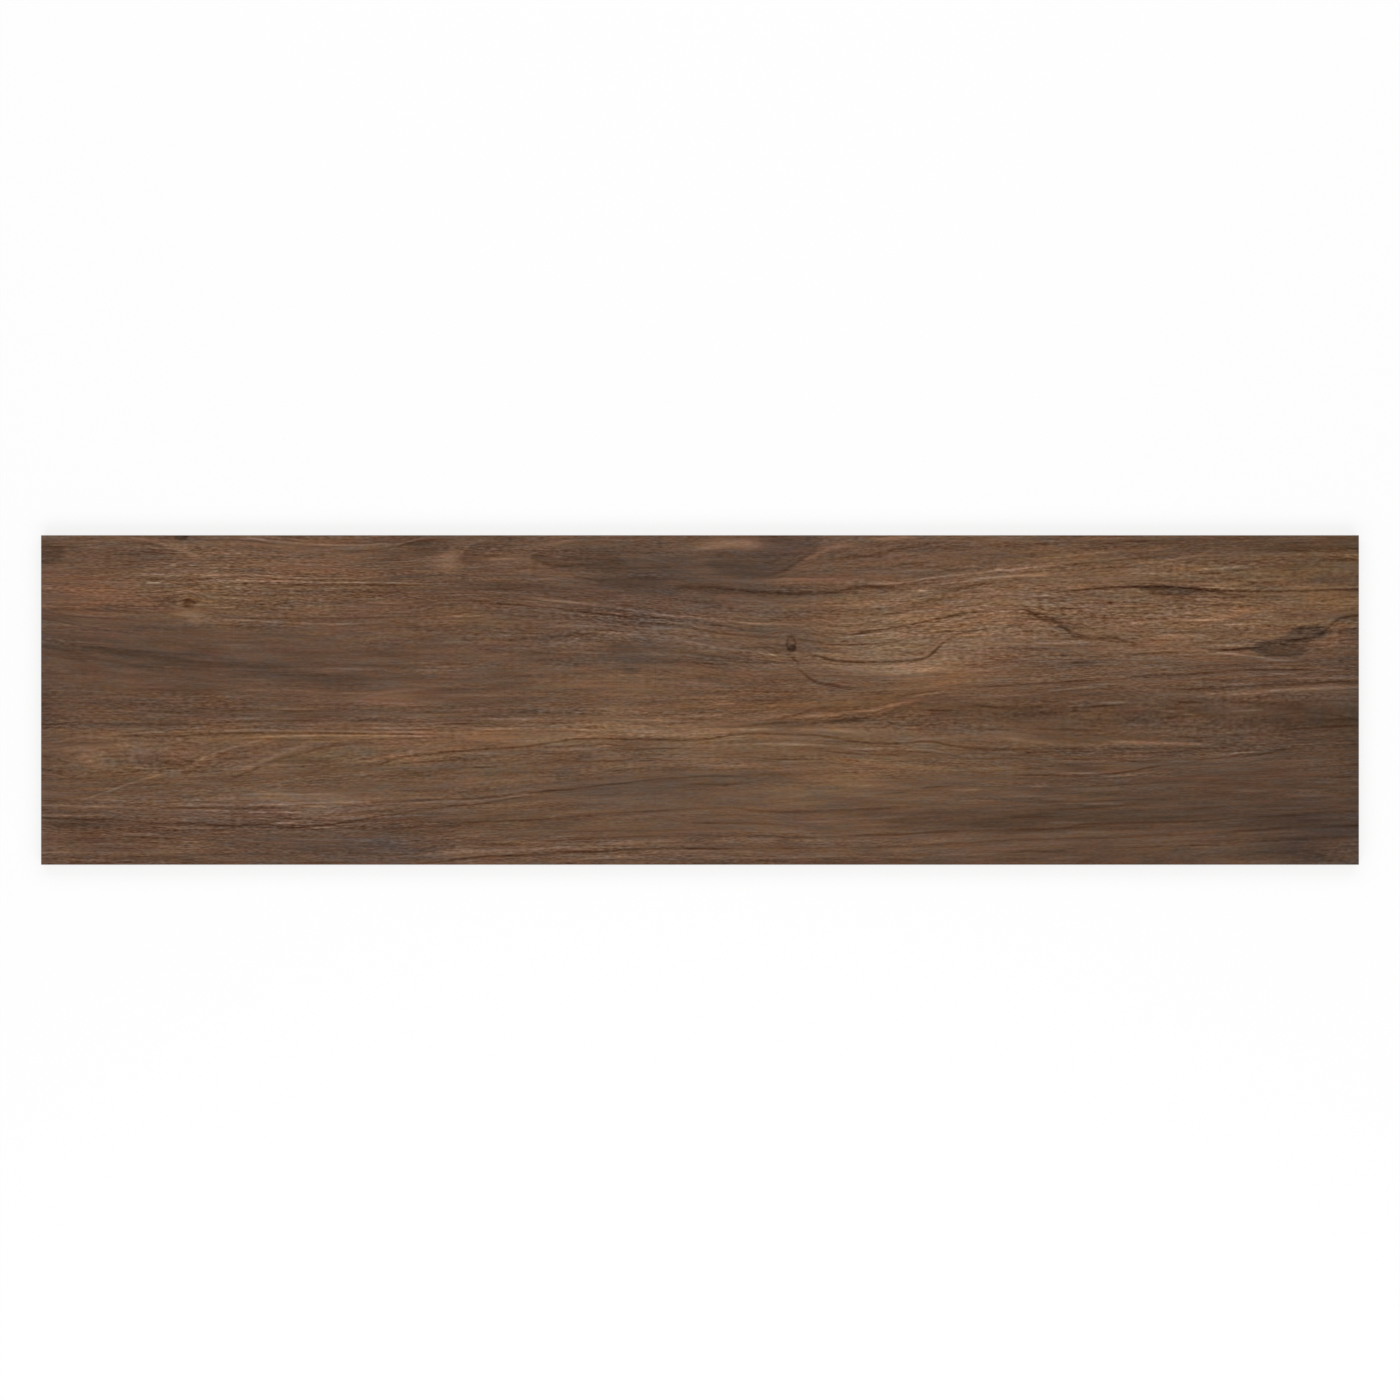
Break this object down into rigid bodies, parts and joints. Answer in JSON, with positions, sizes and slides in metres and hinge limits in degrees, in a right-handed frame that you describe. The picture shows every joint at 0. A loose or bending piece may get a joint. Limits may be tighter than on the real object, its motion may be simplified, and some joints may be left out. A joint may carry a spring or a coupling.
{
  "type": "wood look porcelain plank tile",
  "caption": "Long flat porcelain plank tile with a printed walnut-look face, square ground edges with a fine bevel, and a waffle of keying pockets pressed into its back.",
  "frame": {"origin": "middle of the back, on the bedding plane of its keying ribs", "axes": "+X along the plank's length, +Y across its width, +Z out of the printed face"},
  "size_m": [0.8, 0.2, 0.009],
  "materials": {
    "printed_porcelain": "matte walnut-look printed glaze over a brown-grey fired body"
  },
  "bodies": {
    "root": {"plank_tile": "printed_porcelain"}
  },
  "joints": []
}
